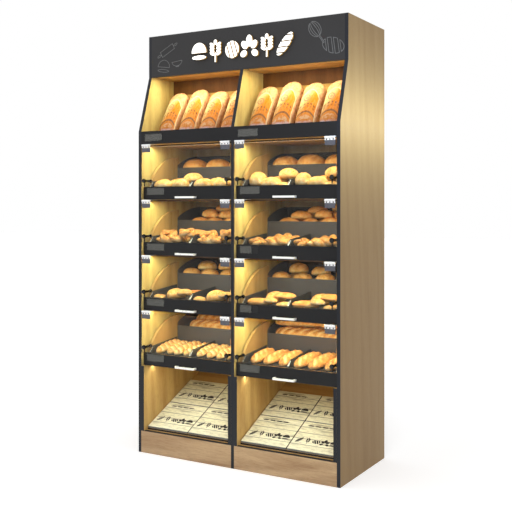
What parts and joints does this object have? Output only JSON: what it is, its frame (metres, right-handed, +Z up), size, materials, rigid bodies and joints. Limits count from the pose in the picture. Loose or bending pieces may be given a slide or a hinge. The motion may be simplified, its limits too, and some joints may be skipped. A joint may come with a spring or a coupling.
{
  "type": "bakery bread rack",
  "caption": "Upright oak bread rack with bins, hinged clear flaps over stepped bread trays, crumb drawers and a lit sign board.",
  "frame": {"origin": "on the floor at the centre of the cabinet's footprint", "axes": "+Z up, the open front at -Y, +X to the viewer's right"},
  "size_m": [1.2, 0.5773, 2.27],
  "materials": {
    "oak": "matt oak decor on board",
    "anthracite_board": "matt dark laminate",
    "dark_edging": "satin",
    "dark_sheet_steel": "satin powder coat",
    "clear_acrylic": "polished, clear",
    "bright_steel": "satin",
    "black_fittings": "gloss",
    "led_channel": "anodised",
    "led_diffuser": "milky, lit",
    "black_foot": "matt",
    "bread_crust": "baked crust",
    "loaf_bag": "printed film on a loaf",
    "bag_paper": "printed paper"
  },
  "bodies": {
    "cabinet": {"side_panel_left": "oak", "side_panel_right": "oak", "centre_panel": "oak", "back_panel": "oak", "header_boards": "oak", "shelf_boards": "oak", "bottom_boards": "oak", "plinth_fronts": "oak", "bottom_bin_liners": "oak", "bottom_display_floors": "oak", "top_display_boards": "oak", "top_bin_backs": "oak", "tray_carriers": "oak", "tray_cheeks": "oak", "top_rail": "anthracite_board", "header_panel": "anthracite_board", "front_edge_trims": "dark_edging", "bread_trays": "dark_sheet_steel", "rear_steps": "dark_sheet_steel", "hinge_fixed_leaves": "bright_steel", "drawer_runners": "bright_steel", "led_profiles": "led_channel", "led_diffusers": "led_diffuser", "levelling_feet": "black_foot", "front_bread": "bread_crust", "rear_bread": "bread_crust", "bagged_loaves": "loaf_bag", "paper_bag_packs": "bag_paper"},
    "drawer_left_1": {"crumb_drawer_left_1": "dark_sheet_steel", "drawer_handle_left_1": "bright_steel"},
    "flap_left_1": {"flap_left_1": "clear_acrylic", "flap_fittings_left_1": "black_fittings"},
    "drawer_left_2": {"crumb_drawer_left_2": "dark_sheet_steel", "drawer_handle_left_2": "bright_steel"},
    "flap_left_2": {"flap_left_2": "clear_acrylic", "flap_fittings_left_2": "black_fittings"},
    "drawer_left_3": {"crumb_drawer_left_3": "dark_sheet_steel", "drawer_handle_left_3": "bright_steel"},
    "flap_left_3": {"flap_left_3": "clear_acrylic", "flap_fittings_left_3": "black_fittings"},
    "drawer_left_4": {"crumb_drawer_left_4": "dark_sheet_steel", "drawer_handle_left_4": "bright_steel"},
    "flap_left_4": {"flap_left_4": "clear_acrylic", "flap_fittings_left_4": "black_fittings"},
    "drawer_right_1": {"crumb_drawer_right_1": "dark_sheet_steel", "drawer_handle_right_1": "bright_steel"},
    "flap_right_1": {"flap_right_1": "clear_acrylic", "flap_fittings_right_1": "black_fittings"},
    "drawer_right_2": {"crumb_drawer_right_2": "dark_sheet_steel", "drawer_handle_right_2": "bright_steel"},
    "flap_right_2": {"flap_right_2": "clear_acrylic", "flap_fittings_right_2": "black_fittings"},
    "drawer_right_3": {"crumb_drawer_right_3": "dark_sheet_steel", "drawer_handle_right_3": "bright_steel"},
    "flap_right_3": {"flap_right_3": "clear_acrylic", "flap_fittings_right_3": "black_fittings"},
    "drawer_right_4": {"crumb_drawer_right_4": "dark_sheet_steel", "drawer_handle_right_4": "bright_steel"},
    "flap_right_4": {"flap_right_4": "clear_acrylic", "flap_fittings_right_4": "black_fittings"}
  },
  "joints": [
    {"name": "drawer_slide_left_1", "type": "slide", "parent": "cabinet", "child": "drawer_left_1", "axis": [0, -1, 0], "range_m": [0, 0.3]},
    {"name": "flap_hinge_left_1", "type": "hinge", "parent": "cabinet", "child": "flap_left_1", "pos_m": [-0.2955, -0.2835, 0.7645], "axis": [-1, 0, 0], "range_deg": [0, 80]},
    {"name": "drawer_slide_left_2", "type": "slide", "parent": "cabinet", "child": "drawer_left_2", "axis": [0, -1, 0], "range_m": [0, 0.3]},
    {"name": "flap_hinge_left_2", "type": "hinge", "parent": "cabinet", "child": "flap_left_2", "pos_m": [-0.2955, -0.2835, 1.0645], "axis": [-1, 0, 0], "range_deg": [0, 80]},
    {"name": "drawer_slide_left_3", "type": "slide", "parent": "cabinet", "child": "drawer_left_3", "axis": [0, -1, 0], "range_m": [0, 0.3]},
    {"name": "flap_hinge_left_3", "type": "hinge", "parent": "cabinet", "child": "flap_left_3", "pos_m": [-0.2955, -0.2835, 1.3645], "axis": [-1, 0, 0], "range_deg": [0, 80]},
    {"name": "drawer_slide_left_4", "type": "slide", "parent": "cabinet", "child": "drawer_left_4", "axis": [0, -1, 0], "range_m": [0, 0.3]},
    {"name": "flap_hinge_left_4", "type": "hinge", "parent": "cabinet", "child": "flap_left_4", "pos_m": [-0.2955, -0.2835, 1.6645], "axis": [-1, 0, 0], "range_deg": [0, 80]},
    {"name": "drawer_slide_right_1", "type": "slide", "parent": "cabinet", "child": "drawer_right_1", "axis": [0, -1, 0], "range_m": [0, 0.3]},
    {"name": "flap_hinge_right_1", "type": "hinge", "parent": "cabinet", "child": "flap_right_1", "pos_m": [0.2955, -0.2835, 0.7645], "axis": [-1, 0, 0], "range_deg": [0, 80]},
    {"name": "drawer_slide_right_2", "type": "slide", "parent": "cabinet", "child": "drawer_right_2", "axis": [0, -1, 0], "range_m": [0, 0.3]},
    {"name": "flap_hinge_right_2", "type": "hinge", "parent": "cabinet", "child": "flap_right_2", "pos_m": [0.2955, -0.2835, 1.0645], "axis": [-1, 0, 0], "range_deg": [0, 80]},
    {"name": "drawer_slide_right_3", "type": "slide", "parent": "cabinet", "child": "drawer_right_3", "axis": [0, -1, 0], "range_m": [0, 0.3]},
    {"name": "flap_hinge_right_3", "type": "hinge", "parent": "cabinet", "child": "flap_right_3", "pos_m": [0.2955, -0.2835, 1.3645], "axis": [-1, 0, 0], "range_deg": [0, 80]},
    {"name": "drawer_slide_right_4", "type": "slide", "parent": "cabinet", "child": "drawer_right_4", "axis": [0, -1, 0], "range_m": [0, 0.3]},
    {"name": "flap_hinge_right_4", "type": "hinge", "parent": "cabinet", "child": "flap_right_4", "pos_m": [0.2955, -0.2835, 1.6645], "axis": [-1, 0, 0], "range_deg": [0, 80]}
  ]
}
